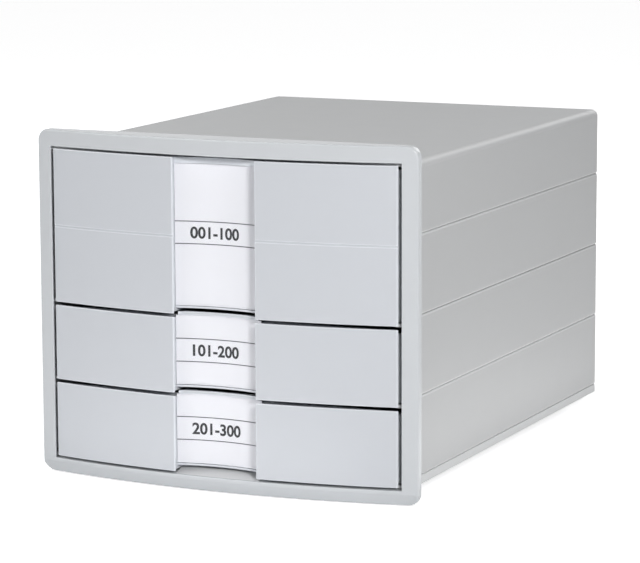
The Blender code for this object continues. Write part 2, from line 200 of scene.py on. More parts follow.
def makePaper():
    look = paper
    material, nodes, links, shader = startMaterial("label paper")
    place = nodes.new("ShaderNodeTexCoord")
    fibre = noiseOn(nodes, links, place, look["fibreScale"], look["fibreDetail"])
    colour = shadeColour(nodes, links, look["colour"], spread(nodes, links, fibre, *look["shades"]))
    split = nodes.new("ShaderNodeSeparateXYZ")
    links.new(place.outputs["Object"], split.inputs["Vector"])
    outer, inner = look["lineHalf"] + look["lineSoft"], look["lineHalf"] - look["lineSoft"]
    for height in look["lines"]:
        away = nodes.new("ShaderNodeMath")
        away.operation = "SUBTRACT"
        away.inputs[1].default_value = height
        links.new(split.outputs["Z"], away.inputs[0])
        size = nodes.new("ShaderNodeMath")
        size.operation = "ABSOLUTE"
        links.new(away.outputs["Value"], size.inputs[0])
        onLine = spread(nodes, links, size.outputs["Value"], 0.0, 1.0, outer, inner)
        colour = mixColours(nodes, links, onLine, colour, look["ink"])
    links.new(colour, shader.inputs["Base Color"])
    links.new(spread(nodes, links, fibre, *look["roughness"]), shader.inputs["Roughness"])
    roughen(nodes, links, shader, fibre, look["fibreStrength"], look["fibreHeight"])
    return material


ink = {
    "colour": (0.012, 0.012, 0.016),
    "speckleScale": 3000.0,
    "speckleDetail": 2.0,
    "shades": (0.6, 1.4),
    "roughness": (0.45, 0.65),
}


def makeInk():
    look = ink
    material, nodes, links, shader = startMaterial("printing ink")
    place = nodes.new("ShaderNodeTexCoord")
    speckle = noiseOn(nodes, links, place, look["speckleScale"], look["speckleDetail"])
    links.new(spread(nodes, links, speckle, *look["roughness"]), shader.inputs["Roughness"])
    shades = spread(nodes, links, speckle, *look["shades"])
    links.new(shadeColour(nodes, links, look["colour"], shades), shader.inputs["Base Color"])
    return material


# A thin clear cover, mostly see-through, with the gloss of a smooth moulding
clear = {
    "colour": (0.80, 0.82, 0.85),
    "hazeScale": 45.0,
    "hazeDetail": 3.0,
    "haze": (0.01, 0.02),        # how much of the cover isn't see-through
    "roughness": (0.05, 0.10),
}


def makeClear():
    look = clear
    material, nodes, links, shader = startMaterial("clear plastic")
    place = nodes.new("ShaderNodeTexCoord")
    haze = noiseOn(nodes, links, place, look["hazeScale"], look["hazeDetail"])
    links.new(spread(nodes, links, haze, *look["roughness"]), shader.inputs["Roughness"])
    links.new(spread(nodes, links, haze, *look["haze"]), shader.inputs["Alpha"])
    shader.inputs["Base Color"].default_value = (*look["colour"], 1)
    return material


rubber = {
    "dustScale": 220.0,
    "dustDetail": 5.0,
    "dustStrength": 0.5,
    "dustHeight": 0.0001,
    "greys": (0.030, 0.060),
    "roughness": (0.80, 0.95),
}


def makeRubber():
    look = rubber
    material, nodes, links, shader = startMaterial("foot rubber")
    place = nodes.new("ShaderNodeTexCoord")
    dust = noiseOn(nodes, links, place, look["dustScale"], look["dustDetail"])
    links.new(spread(nodes, links, dust, *look["greys"]), shader.inputs["Base Color"])
    links.new(spread(nodes, links, dust, *look["roughness"]), shader.inputs["Roughness"])
    roughen(nodes, links, shader, dust, look["dustStrength"], look["dustHeight"])
    return material


labelPaper = makePaper()
printingInk = makeInk()
clearPlastic = makeClear()
footRubber = makeRubber()
print("finishes made")


# Shaping, all in the row frame
def evenly(first, last, count):
    return [first + (last - first) * step / count for step in range(count + 1)]


def block(bm, low, high):
    low, high = Vector(low), Vector(high)
    verts = bmesh.ops.create_cube(bm, size=1)["verts"]
    bmesh.ops.scale(bm, verts=verts, vec=high - low)
    bmesh.ops.translate(bm, verts=verts, vec=(low + high) / 2)
    return verts


# A flat rectangle between two corners that share a depth or a height
def sheet(bm, low, high):
    low, high = Vector(low), Vector(high)
    verts = bmesh.ops.create_grid(bm, x_segments=1, y_segments=1, size=0.5)["verts"]
    if near(low.y, high.y):
        bmesh.ops.rotate(bm, verts=verts, cent=(0, 0, 0), matrix=Matrix.Rotation(math.pi / 2, 3, "X"))
    bmesh.ops.scale(bm, verts=verts, vec=high - low)
    bmesh.ops.translate(bm, verts=verts, vec=(low + high) / 2)


def near(value, target):
    return abs(value - target) < samePlace


# Cut faces, or the whole shape, by planes square to a direction. Returns the faces that were cut.
def slices(bm, direction, places, faces=None):
    for place in places:
        cutting = bm.faces[:] if faces is None else faces
        edges = list(dict.fromkeys(edge for face in cutting for edge in face.edges))
        verts = list(dict.fromkeys(vert for face in cutting for vert in face.verts))
        made = bmesh.ops.bisect_plane(bm, geom=[*verts, *edges, *cutting], dist=tiny,
                                      plane_co=direction * place, plane_no=direction)
        if faces is not None:
            faces = [item for item in made["geom"] if isinstance(item, bmesh.types.BMFace)]
    return faces


# Cut away everything on the far side of a plane, and close the cut
def cutAway(bm, direction, place):
    bmesh.ops.bisect_plane(bm, geom=[*bm.verts, *bm.edges, *bm.faces], dist=tiny, clear_outer=True,
                           plane_co=direction * place, plane_no=direction)
    bmesh.ops.holes_fill(bm, edges=[edge for edge in bm.edges if edge.is_boundary])


# Pull faces out by a vector. The first pull of a flat sheet keeps it as the shape's other end.
def pull(bm, faces, move, keep=False):
    made = bmesh.ops.extrude_face_region(bm, geom=faces)["geom"]
    verts = [item for item in made if isinstance(item, bmesh.types.BMVert)]
    bmesh.ops.translate(bm, verts=verts, vec=move)
    left = [face for face in faces if face.is_valid]
    if left and not keep:
        bmesh.ops.delete(bm, geom=left, context="FACES")
    return [item for item in made if isinstance(item, bmesh.types.BMFace) and item.is_valid]


def inset(bm, faces, thickness):
    return bmesh.ops.inset_region(bm, faces=faces, thickness=thickness, use_boundary=True,
                                  use_even_offset=True)["faces"]


def roundOff(bm, edges, radius, segments):
    if edges:
        bmesh.ops.bevel(bm, geom=edges, offset=radius, offset_type="OFFSET", segments=segments,
                        profile=0.5, affect="EDGES", material=-1, clamp_overlap=False)


def roundCorners(bm, radius, segments):
    bmesh.ops.bevel(bm, geom=bm.verts[:], offset=radius, offset_type="OFFSET", segments=segments,
                    profile=0.5, affect="VERTICES", material=-1, clamp_overlap=False)


def facesAt(bm, test):
    return [face for face in bm.faces if test(face.calc_center_median())]


def edgesAt(bm, test):
    return [edge for edge in bm.edges if all(test(vert.co) for vert in edge.verts)]


# Where the loops beside an edge go, towards the given side of it
def beside(place, way):
    return [place + way * band for band in edgeBands]


def isSteep(edge):
    return any(abs(face.normal.y) < steepShare for face in edge.link_faces)


def toObject(name, bm):
    bmesh.ops.remove_doubles(bm, verts=bm.verts, dist=1e-6)
    bmesh.ops.recalc_face_normals(bm, faces=bm.faces)
    if bm.calc_volume(signed=True) < 0:
        bmesh.ops.reverse_faces(bm, faces=bm.faces)
    mesh = bpy.data.meshes.new(name)
    bm.to_mesh(mesh)
    bm.free()
    piece = bpy.data.objects.new(name, mesh)
    bpy.context.scene.collection.objects.link(piece)
    return piece


# Join shapes to a piece, or cut them out of it, and keep the result as its own mesh
def joinAndCut(piece, *steps):
    for number, (operation, tool) in enumerate(steps):
        modifier = piece.modifiers.new(f"step_{number}", "BOOLEAN")
        modifier.operation = operation
        modifier.object = tool
    bpy.context.view_layer.update()
    seen = piece.evaluated_get(bpy.context.evaluated_depsgraph_get())
    made = bpy.data.meshes.new_from_object(seen)
    piece.modifiers.clear()
    piece.data = made
    for _, tool in steps:
        bpy.data.objects.remove(tool, do_unlink=True)
    return piece


def dress(piece, material, body, node=None, crease=32):
    piece.data.materials.clear()
    piece.data.materials.append(material)
    piece.data.shade_smooth()
    piece.data.set_sharp_from_angle(angle=math.radians(crease))
    even = piece.modifiers.new("even shading", "WEIGHTED_NORMAL")
    even.keep_sharp = True
    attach(piece, body)
    if node:
        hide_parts(node)
    return piece


# Places that the pieces share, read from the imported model
frameLow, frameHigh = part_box("front_frame")
frontY = frameLow.y
rearY = frameHigh.y
shared = {
    "clearance": 0.0003,
    "storeyPieces": ("storey_shell_1", "storey_shell_2", "storey_shell_3", "top_cover"),
    "drawers": ("bottom", "middle", "top"),
    "bowDepth": 0.0165,          # the front's middle stands this far ahead of its ends
    "channelHalf": 0.0313,       # half the recessed label column between a front's wings
    "channelRecess": 0.0055,
    "channelBow": 0.0046,
}
clearance = shared["clearance"]
joints = [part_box(name)[0].z - clearance / 2 for name in shared["storeyPieces"]]
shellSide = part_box("top_cover")[1].x
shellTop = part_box("top_cover")[1].z
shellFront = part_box("top_cover")[0].y
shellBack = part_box("top_cover")[1].y
seatY = shellFront - clearance
bowRadius = (frameHigh.x ** 2 + shared["bowDepth"] ** 2) / (2 * shared["bowDepth"])
channelRadius = (shared["channelHalf"] ** 2 + shared["channelBow"] ** 2) / (2 * shared["channelBow"])


def bowShift(x):
    return bowRadius - math.sqrt(bowRadius ** 2 - x ** 2)


def channelShift(x):
    middle = bowShift(shared["channelHalf"]) + shared["channelRecess"] + shared["channelBow"]
    return middle - channelRadius + math.sqrt(channelRadius ** 2 - x ** 2)


# Push the front part of a shape back by what a function gives for each vertex
def bend(bm, shift, reach=math.inf):
    for vert in bm.verts:
        if vert.co.y < frontY + reach:
            vert.co.y += shift(vert.co)


# Front frame: a ring pulled back from a flat outline, then bowed
frameLook = {
    "sideRail": 0.0110,
    "topRail": 0.0113,
    "bottomRail": 0.0102,
    "cornerRadius": 0.0080,
    "cornerSegments": 12,
    "edgeRadius": 0.0012,
    "edgeSegments": 6,
    "openingRadius": 0.0005,
    "openingSegments": 3,
    "rearRadius": 0.0005,
    "rearSegments": 2,
    "lip": 0.0012,               # depth of the opening's lip, and the wall's set-back behind it
    "relief": 0.0010,
    "groovePlace": 0.0026,       # a faint groove round the frame, behind its rounded edge
    "grooveWidth": 0.0003,
    "grooveDepth": 0.00015,
    "baseStrip": 0.0063,         # the housing shows this much below its lowest joint
    "bandHeight": 0.0080,        # sloping band along the lower edge
    "bandSetBack": 0.0030,
    "bandCorner": 0.0040,
    "bandCornerStations": 8,
    "bandSlices": 16,
    "pockets": 8,
    "pocketWall": 0.0020,
    "stations": 48,
    "bendReach": 0.0044,         # only what lies this near the front follows the bow
}
openingSide = frameHigh.x - frameLook["sideRail"]
openingLow = frameLow.z + frameLook["bottomRail"]
openingHigh = frameHigh.z - frameLook["topRail"]
baseBottom = joints[0] - frameLook["baseStrip"]


# How far a point lies inside the frame's outline, seen from the front
def insideBy(at):
    radius = frameLook["cornerRadius"]
    middle = (frameLow.z + frameHigh.z) / 2
    across = abs(at.x) - (frameHigh.x - radius)
    up = abs(at.z - middle) - (frameHigh.z - middle - radius)
    if across > 0 and up > 0:
        return radius - math.hypot(across, up)
    return radius - max(across, up)


def bandShift(at):
    look = frameLook
    beyond = abs(at.x) - (frameHigh.x - look["bandCorner"])
    drop = 0.0
    if beyond > 0:
        drop = look["bandCorner"] - math.sqrt(max(look["bandCorner"] ** 2 - beyond ** 2, 0.0))
    below = frameLow.z + look["bandHeight"] - drop - at.z
    return look["bandSetBack"] * max(below, 0.0) / look["bandHeight"]


# The seat that takes the housing, and the hollows behind the upper and lower rails
def hollowFrame(bm, rear):
    look = frameLook
    side, low, high = shellSide + clearance, baseBottom - clearance, shellTop + clearance
    rear = slices(bm, toRight, (-side, side), rear)
    rear = slices(bm, toTop, (low, high), rear)
    outer = []
    for face in rear:
        at = face.calc_center_median()
        if abs(at.x) > side or not low < at.z < high:
            outer.append(face)
    rim = pull(bm, outer, toBack * (rearY - seatY))
    wall = look["pocketWall"]
    rails = ((frameLow.z + wall, low - wall), (high + wall, frameHigh.z - wall))
    pitch = 2 * openingSide / look["pockets"]
    spans = []
    for number in range(look["pockets"]):
        left = -openingSide + number * pitch + wall / 2
        spans.append((left, left + pitch - wall))
    for rail in rails:
        rim = slices(bm, toTop, rail, rim)
    for span in spans:
        rim = slices(bm, toRight, span, rim)
    pockets = []
    for face in rim:
        at = face.calc_center_median()
        inRail = any(bottom < at.z < top for bottom, top in rails)
        if inRail and any(left < at.x < right for left, right in spans):
            pockets.append(face)
    pull(bm, pockets, -toBack * (rearY - seatY))


# Set the opening's walls back behind a lip, which leaves the gap round the fronts dark
def relieveOpening(bm):
    look = frameLook
    lip = frontY + look["lip"]
    walls = []
    for face in bm.faces:
        at = face.calc_center_median()
        onSide = near(abs(at.x), openingSide) and openingLow < at.z < openingHigh
        onLevel = abs(at.x) < openingSide and (near(at.z, openingLow) or near(at.z, openingHigh))
        if abs(face.normal.y) < 0.1 and (onSide or onLevel):
            walls.append(face)
    slices(bm, toBack, (lip, lip + look["relief"]), walls)
    for vert in bm.verts:
        at = vert.co
        inside = abs(at.x) < openingSide + nudge and openingLow - nudge < at.z < openingHigh + nudge
        if not inside or at.y < lip + look["relief"] - nudge:
            continue
        if near(abs(at.x), openingSide):
            at.x += math.copysign(look["relief"], at.x)
        if near(at.z, openingHigh):
            at.z += look["relief"]


# Steep edges on the outline, in a plane square to Y
def rimEdges(bm, y):
    found = edgesAt(bm, lambda at: near(at.y, y) and near(insideBy(at), 0))
    return [edge for edge in found if isSteep(edge)]


def makeFrame():
    look = frameLook
    bm = bmesh.new()
    sheet(bm, (-frameHigh.x, frontY, frameLow.z), (frameHigh.x, frontY, frameHigh.z))
    roundCorners(bm, look["cornerRadius"], look["cornerSegments"])
    slices(bm, toRight, (-openingSide, openingSide))
    slices(bm, toTop, (openingLow, openingHigh))
    opening = facesAt(bm, lambda at: abs(at.x) < openingSide and openingLow < at.z < openingHigh)
    bmesh.ops.delete(bm, geom=opening, context="FACES")
    rear = pull(bm, bm.faces[:], toBack * (seatY - frontY), keep=True)
    hollowFrame(bm, rear)
    for vert in bm.verts:    # the ring at the seat would lie ahead of the bowed edge
        if near(vert.co.y, seatY) and near(insideBy(vert.co), 0):
            vert.co.y = rearY - look["rearRadius"] * 2
    bmesh.ops.recalc_face_normals(bm, faces=bm.faces)

    # Rounded edges, outside and round the opening
    mouth = [edge for edge in edgesAt(bm, lambda at: near(at.y, frontY)) if isSteep(edge)
             and not all(near(insideBy(vert.co), 0) for vert in edge.verts)]
    roundOff(bm, mouth, look["openingRadius"], look["openingSegments"])
    roundOff(bm, rimEdges(bm, frontY), look["edgeRadius"], look["edgeSegments"])
    roundOff(bm, rimEdges(bm, rearY), look["rearRadius"], look["rearSegments"])
    relieveOpening(bm)

    # Faint groove round the outside
    start = frontY + look["groovePlace"]
    end = start + look["grooveWidth"]
    bmesh.ops.recalc_face_normals(bm, faces=bm.faces)
    skin = [face for face in bm.faces if abs(face.normal.y) < 0.1
            and all(near(insideBy(vert.co), 0) for vert in face.verts)]
    rearEnd = rearY - look["rearRadius"] * 2
    skin = slices(bm, toBack, (start, end, *beside(end, 1), rearEnd - edgeBands[0]), skin)
    band = [face for face in skin if start < face.calc_center_median().y < end]
    bmesh.ops.inset_region(bm, faces=band, thickness=0, depth=-look["grooveDepth"],
                           use_boundary=True, use_even_offset=True)

    # Loops beside the edges, stations for the bow, then the bow and the sloping band
    edge, rim = look["openingRadius"], look["edgeRadius"]
    slices(bm, toRight, [*beside(-openingSide - edge, -1), *beside(openingSide + edge, 1),
                         *beside(rim - frameHigh.x, 1), *beside(frameHigh.x - rim, -1)])
    slices(bm, toTop, [*beside(openingLow - edge, -1), *beside(openingHigh + edge, 1),
                       *beside(frameHigh.z - rim, -1)])
    stations = evenly(-frameHigh.x, frameHigh.x, look["stations"])[1:-1]
    corner = evenly(frameHigh.x - look["bandCorner"], frameHigh.x, look["bandCornerStations"])[:-1]
    slices(bm, toRight, [*stations, *corner, *[-x for x in corner]])
    bandTop = frameLow.z + look["bandHeight"]
    slices(bm, toTop, evenly(frameLow.z, bandTop, look["bandSlices"])[1:])
    bend(bm, lambda at: bowShift(at.x) + bandShift(at), look["bendReach"])
    piece = toObject("frame_bezel", bm)
    return dress(piece, framePlastic, "housing", "front_frame")


# A sill on the lower rail that rises towards the back, between the wings of the bottom front
sillLook = {"side": 0.0310, "start": 0.0024, "rampEnd": 0.0125, "root": 0.0003, "stations": 16}


def makeSill():
    look = sillLook
    side = look["side"]
    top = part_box("bottom_drawer_tray")[0].z - clearance
    bm = bmesh.new()
    z = openingLow - look["root"]
    sheet(bm, (-side, frontY + look["start"], z), (side, seatY, z))
    slices(bm, toBack, (frontY + look["rampEnd"],))
    pull(bm, bm.faces[:], toTop * (top - z), keep=True)
    for vert in bm.verts:
        if vert.co.z > openingLow and near(vert.co.y, frontY + look["start"]):
            vert.co.z = openingLow
    slices(bm, toRight, evenly(-side, side, look["stations"])[1:-1])
    bend(bm, lambda at: bowShift(at.x), look["rampEnd"] + nudge)
    # The sill takes the darker housing plastic: painted shade for the recess under the column
    dress(toObject("frame_sill", bm), housingPlastic, "housing")


makeFrame()
makeSill()
print("front frame made")

# Housing: lapped storeys on a base, under a lid
housingLook = {
    "wall": 0.0025,
    "roof": 0.0025,
    "floor": 0.0020,
    "baseRim": 0.0005,
    "edgeRadius": 0.0050,
    "innerRadius": 0.0025,
    "segments": 8,
    "skirt": 0.0011,             # outer half of a wall's lapped lower edge
    "tongue": 0.0030,
    "chamfer": 0.0008,           # along a storey's lower edge
    "upperChamfer": 0.0012,
    "chamferSegments": 2,
    "ledgeWidth": 0.0100,
    "ledgeThickness": 0.0022,
    "ledges": {"storey_shell_1": "middle", "storey_shell_2": "top"},
    "spare": 0.0120,             # front wall that is cut away
    "bossRadius": 0.0105,
    "bossClearance": 0.0015,
    "bossEdge": 0.0008,
    "bossSegments": 3,
}


# Plan of the housing as a flat sheet, parted into rings from the outside in
def planSheet(bm, z, radius):
    look = housingLook
    sheet(bm, (-shellSide, shellFront - look["spare"], z), (shellSide, shellBack, z))
    roundCorners(bm, radius, look["segments"])
    inner = bm.faces[:]
    skirt = inset(bm, inner, look["skirt"])
    lap = inset(bm, inner, clearance)
    tongue = inset(bm, inner, look["wall"] - look["skirt"] - clearance)
    return skirt, lap, tongue, inner


def onPlan(at):
    radius = housingLook["edgeRadius"]
    across = max(abs(at.x) - (shellSide - radius), 0)
    back = max(at.y - (shellBack - radius), 0)
    return near(math.hypot(across, back), radius) or (near(abs(at.x), shellSide) and back == 0)


def liesWithin(face, side, back):
    return all(abs(vert.co.x) < side + nudge and vert.co.y < back + nudge for vert in face.verts)


def chamferJoint(bm, height, size):
    roundOff(bm, edgesAt(bm, lambda at: near(at.z, height) and onPlan(at)), size,
             housingLook["chamferSegments"])


def makeStorey(number, name):
    look = housingLook
    low = joints[number] + clearance / 2
    high = joints[number + 1] - clearance / 2
    lap = look["tongue"] + clearance
    bm = bmesh.new()
    skirt, _, tongue, inner = planSheet(bm, low + lap, look["edgeRadius"])
    bmesh.ops.delete(bm, geom=inner, context="FACES")
    order = [*skirt, *[face for face in bm.faces if face not in skirt and face not in tongue], *tongue]
    pulled = pull(bm, order, toTop * (high - low - lap), keep=True)
    top = [face for face in pulled if near(face.calc_center_median().z, high)]
    inside = shellSide - look["skirt"] - clearance
    backInside = shellBack - look["skirt"] - clearance
    raised = []
    for face in top:
        if liesWithin(face, inside, backInside):
            raised.append(face)
    pull(bm, raised, toTop * look["tongue"])
    pull(bm, skirt, -toTop * lap)
    cutAway(bm, -toBack, -shellFront)
    bmesh.ops.recalc_face_normals(bm, faces=bm.faces)
    chamferJoint(bm, low, look["chamfer"])
    chamferJoint(bm, high, look["upperChamfer"])
    slices(bm, toTop, [*beside(low + look["chamfer"], 1), *beside(high - look["upperChamfer"], -1)])
    slices(bm, toBack, [*beside(shellFront, 1), *beside(shellBack - look["edgeRadius"], -1)])
    piece = toObject(f"housing_wall_{number + 1}", bm)
    if name in look["ledges"]:
        piece = joinAndCut(piece, ("UNION", makeLedge(look["ledges"][name])))
    return dress(piece, housingPlastic, "housing", name)


# Ledge inside a storey that a drawer slides on
def makeLedge(drawer):
    look = housingLook
    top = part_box(f"{drawer}_drawer_tray")[0].z - clearance
    side = shellSide - look["wall"]
    back = shellBack - look["wall"]
    overlap = look["wall"] / 2
    bm = bmesh.new()
    z = top - look["ledgeThickness"]
    sheet(bm, (-side - overlap, shellFront, z), (side + overlap, back + overlap, z))
    slices(bm, toRight, (look["ledgeWidth"] - side, side - look["ledgeWidth"]))
    slices(bm, toBack, (back - look["ledgeWidth"],))
    inner, end = side - look["ledgeWidth"], back - look["ledgeWidth"]
    middle = facesAt(bm, lambda at: abs(at.x) < inner and at.y < end)
    bmesh.ops.delete(bm, geom=middle, context="FACES")
    pull(bm, bm.faces[:], toTop * look["ledgeThickness"], keep=True)
    return toObject("ledge_tool", bm)


def makeCover():
    look = housingLook
    low = joints[-1] + clearance / 2
    lap = look["tongue"] + clearance
    bm = bmesh.new()
    block(bm, (-shellSide, shellFront - look["spare"], low + lap), (shellSide, shellBack, shellTop))
    upper = [edge for edge in bm.edges if max(vert.co.z for vert in edge.verts) > low + lap + tiny]
    roundOff(bm, upper, look["edgeRadius"], look["segments"])
    bottom = facesAt(bm, lambda at: near(at.z, low + lap))
    skirt = inset(bm, bottom, look["skirt"])
    pull(bm, skirt, -toTop * lap)
    cutAway(bm, -toBack, -shellFront)
    bmesh.ops.recalc_face_normals(bm, faces=bm.faces)
    chamferJoint(bm, low, look["chamfer"])
    rim = look["edgeRadius"]
    slices(bm, toTop, [*beside(low + look["chamfer"], 1), *beside(shellTop - rim, -1)])
    slices(bm, toRight, [*beside(rim - shellSide, 1), *beside(shellSide - rim, -1)])
    slices(bm, toBack, [*beside(shellFront, 1), *beside(shellBack - rim, -1)])
    piece = toObject("housing_lid", bm)
    inner = bmesh.new()
    wall = look["wall"]
    block(inner, (wall - shellSide, shellFront - look["spare"] + wall, low - lap),
          (shellSide - wall, shellBack - wall, shellTop - look["roof"]))
    roundOff(inner, inner.edges[:], look["innerRadius"], look["segments"] // 2)
    piece = joinAndCut(piece, ("DIFFERENCE", toObject("lid_hollow_tool", inner)))
    return dress(piece, housingPlastic, "housing", "top_cover")


def makeBase():
    look = housingLook
    high = joints[0] - clearance / 2
    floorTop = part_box("bottom_drawer_tray")[0].z - clearance
    floorLow = floorTop - look["floor"]
    bm = bmesh.new()
    skirt, lap, tongue, inner = planSheet(bm, floorLow, look["edgeRadius"])
    rim = [*skirt, *lap, *tongue]
    raised = pull(bm, bm.faces[:], toTop * look["floor"], keep=True)
    inside = shellSide - look["wall"]
    backInside = shellBack - look["wall"]
    walls = []
    for face in raised:
        if not liesWithin(face, inside, backInside):
            walls.append(face)
    walls = pull(bm, walls, toTop * (high - floorTop))
    inside = shellSide - look["skirt"] - clearance
    backInside = shellBack - look["skirt"] - clearance
    tongues = []
    for face in walls:
        if liesWithin(face, inside, backInside):
            tongues.append(face)
    pull(bm, tongues, toTop * look["tongue"])
    pull(bm, rim, -toTop * look["baseRim"])
    cutAway(bm, -toBack, -shellFront)
    bmesh.ops.recalc_face_normals(bm, faces=bm.faces)
    for height in (floorLow, floorTop):
        spare = [edge for edge in edgesAt(bm, lambda at: near(at.z, height) and onPlan(at))
                 if all(abs(face.normal.z) < steepShare for face in edge.link_faces)]
        bmesh.ops.dissolve_edges(bm, edges=spare, use_verts=False)
    chamferJoint(bm, high, look["upperChamfer"])
    chamferJoint(bm, floorLow - look["baseRim"], look["chamfer"])
    piece = toObject("housing_base", bm)
    bosses, recesses = bmesh.new(), bmesh.new()
    for place in footPlaces():
        disc(bosses, place, look["bossRadius"], look["bossClearance"], floorTop - look["floor"] / 2)
        disc(recesses, place, footLook["radius"] + clearance, -look["floor"], footTop + clearance)
    edges = edgesAt(bosses, lambda at: near(at.z, look["bossClearance"]))
    roundOff(bosses, edges, look["bossEdge"], look["bossSegments"])
    piece = joinAndCut(piece, ("UNION", toObject("boss_tool", bosses)),
                       ("DIFFERENCE", toObject("recess_tool", recesses)))
    return dress(piece, housingPlastic, "housing", "base_tray")


# Rubber feet: discs with rounded edges and a shallow dish underneath
footLook = {
    "radius": 0.0080,
    "segments": 64,
    "edge": 0.0006,
    "edgeSegments": 3,
    "dishInset": 0.0025,
    "dishDepth": 0.0004,
}
feet = ("foot_front_left", "foot_front_right", "foot_rear_left", "foot_rear_right")
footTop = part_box(feet[0])[1].z


def footPlaces():
    return [(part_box(name)[0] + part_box(name)[1]) / 2 for name in feet]


def disc(bm, place, radius, low, high):
    verts = bmesh.ops.create_cone(bm, cap_ends=True, segments=footLook["segments"], radius1=radius,
                                  radius2=radius, depth=high - low)["verts"]
    bmesh.ops.translate(bm, verts=verts, vec=(place.x, place.y, (low + high) / 2))


def makeFeet():
    look = footLook
    for name, place in zip(feet, footPlaces()):
        bm = bmesh.new()
        disc(bm, place, look["radius"], 0.0, footTop)
        bottom = facesAt(bm, lambda at: near(at.z, 0.0))
        rim = [edge for face in bottom for edge in face.edges]
        roundOff(bm, rim, look["edge"], look["edgeSegments"])
        bottom = facesAt(bm, lambda at: near(at.z, 0.0))
        inset(bm, bottom, look["dishInset"])
        bmesh.ops.translate(bm, verts=bottom[0].verts[:], vec=toTop * look["dishDepth"])
        dress(toObject(f"{name}_pad", bm), footRubber, "housing", name)


makeBase()
for number, name in enumerate(shared["storeyPieces"][:-1]):
    makeStorey(number, name)
makeCover()
makeFeet()
print("housing made")

# Drawer fronts: two bowed wings with a hollow column between them
frontLook = {
    "rise": 0.0031,              # the column sits this far above the wings' lower edges
    "topDrop": 0.0005,           # the top column ends below its wings' upper edges
    "side": 0.1276,
    "wall": 0.0025,
    "wingIn": 0.0010,            # the wings lap over the column's slots
    "wingEdge": 0.0006,
    "edgeSegments": 4,
    "lip": 0.0011,               # the skin's overhang: its depth, and the rim's set-back behind it
    "setBack": 0.0010,
    "outerSetBack": 0.0010,      # more of it at the front's two ends
    "wingStations": 24,
    "columnOverlap": 0.0013,     # unlike wingIn and setBack, so that no two walls share a plane
    "columnSkin": 0.0039,
    "columnEdge": 0.0005,
    "columnStations": 32,
    "bendReach": 0.0045,
    "crestClearance": 0.0014,
    "lineDepth": 0.0004,         # line across the front that fills two storeys
    "lineOuter": 0.0006,
    "lineInner": 0.0003,
    "lineDrop": 0.00135,         # below the height of two single storeys
    "pocketDepth": 0.0019,
    "slotDepth": 0.0008,
    "pegWidth": 0.0018,
    "pegHeight": 0.0080,
    "pegShares": (0.30, 0.70),
    "overrun": 0.0020,
}


# A label is a paper card behind a clear cover, both bent like the column, with a plain number on the card
labelLook = {
    "taller": 0.0007,            # at each end, up to where the photographed label ends
    "coverThickness": 0.0010,
    "coverEdge": 0.0003,
    "coverSegments": 2,
    "cardNear": 0.0013,
    "cardThickness": 0.0003,
    "stations": 32,
    "numberHeight": 0.0081,
    "numberStroke": 0.027,       # added to the strokes, as a share of the letter size
    "numberShift": -0.0038,
    "numbers": {"bottom": "201-300", "middle": "101-200", "top": "001-100"},
    "numberThickness": 0.00005,
    "numberRaise": 0.00005,      # clear of the card's face
    "numberMiddles": {"bottom": 0.04165, "middle": 0.09535, "top": 0.1753},
}


# A panel with rounded front edges, round corners if asked, and an open hollow behind its skin
def makePanel(bm, low, high, edge, stations, wall, skin, corners, outer=0):
    depth = seatY - frontY
    lip, setBack = frontLook["lip"], frontLook["setBack"]
    sheet(bm, (low[0], frontY, low[1]), (high[0], frontY, high[1]))
    rear = pull(bm, bm.faces[:], toBack * lip, keep=True)
    inset(bm, rear, setBack)
    rear = pull(bm, rear, toBack * (depth - lip))
    inset(bm, rear, wall - setBack)
    pull(bm, rear, -toBack * (depth - skin))
    for vert in bm.verts:
        away = abs(vert.co.x - outer)
        if outer and vert.co.y > frontY + lip - nudge and nudge < away < wall + nudge:
            vert.co.x -= math.copysign(frontLook["outerSetBack"], outer)
    rim = edgesAt(bm, lambda at: near(at.y, frontY))
    if corners:
        rim += edgesAt(bm, lambda at: (near(at.x, low[0]) or near(at.x, high[0]))
                       and (near(at.z, low[1]) or near(at.z, high[1])))
    rim = [one for one in dict.fromkeys(rim) if any(near(vert.co.y, frontY) for vert in one.verts)]
    roundOff(bm, rim, edge, frontLook["edgeSegments"])
    slices(bm, toTop, [*beside(low[1] + edge, 1), *beside(high[1] - edge, -1)])
    slices(bm, toRight, [*beside(low[0] + edge, 1), *beside(high[0] - edge, -1)])
    slices(bm, toRight, evenly(low[0], high[0], stations)[1:-1])


def frontLevels(drawer):
    low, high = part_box(f"{drawer}_drawer_front")
    if drawer == shared["drawers"][-1]:
        return low.z, high.z, high.z - frontLook["topDrop"]
    return low.z, high.z - frontLook["rise"], high.z


def makeWing(name, side, low, high, line):
    look = frontLook
    near0, far = shared["channelHalf"] - look["wingIn"], look["side"]
    left, right = (near0, far) if side > 0 else (-far, -near0)
    bm = bmesh.new()
    makePanel(bm, (left, low), (right, high), look["wingEdge"], look["wingStations"],
              look["wall"], look["wall"], True, side * far)
    if line:
        heights = (line - look["lineOuter"], line - look["lineInner"],
                   line + look["lineInner"], line + look["lineOuter"])
        slices(bm, toTop, [*heights, *beside(heights[0], -1), *beside(heights[-1], 1)])
        for vert in bm.verts:
            if abs(vert.co.z - line) < look["lineInner"] + nudge and vert.co.y < frontY + look["wingEdge"]:
                vert.co.y += look["lineDepth"]
    bend(bm, lambda at: bowShift(at.x), look["bendReach"])
    return toObject(name, bm)


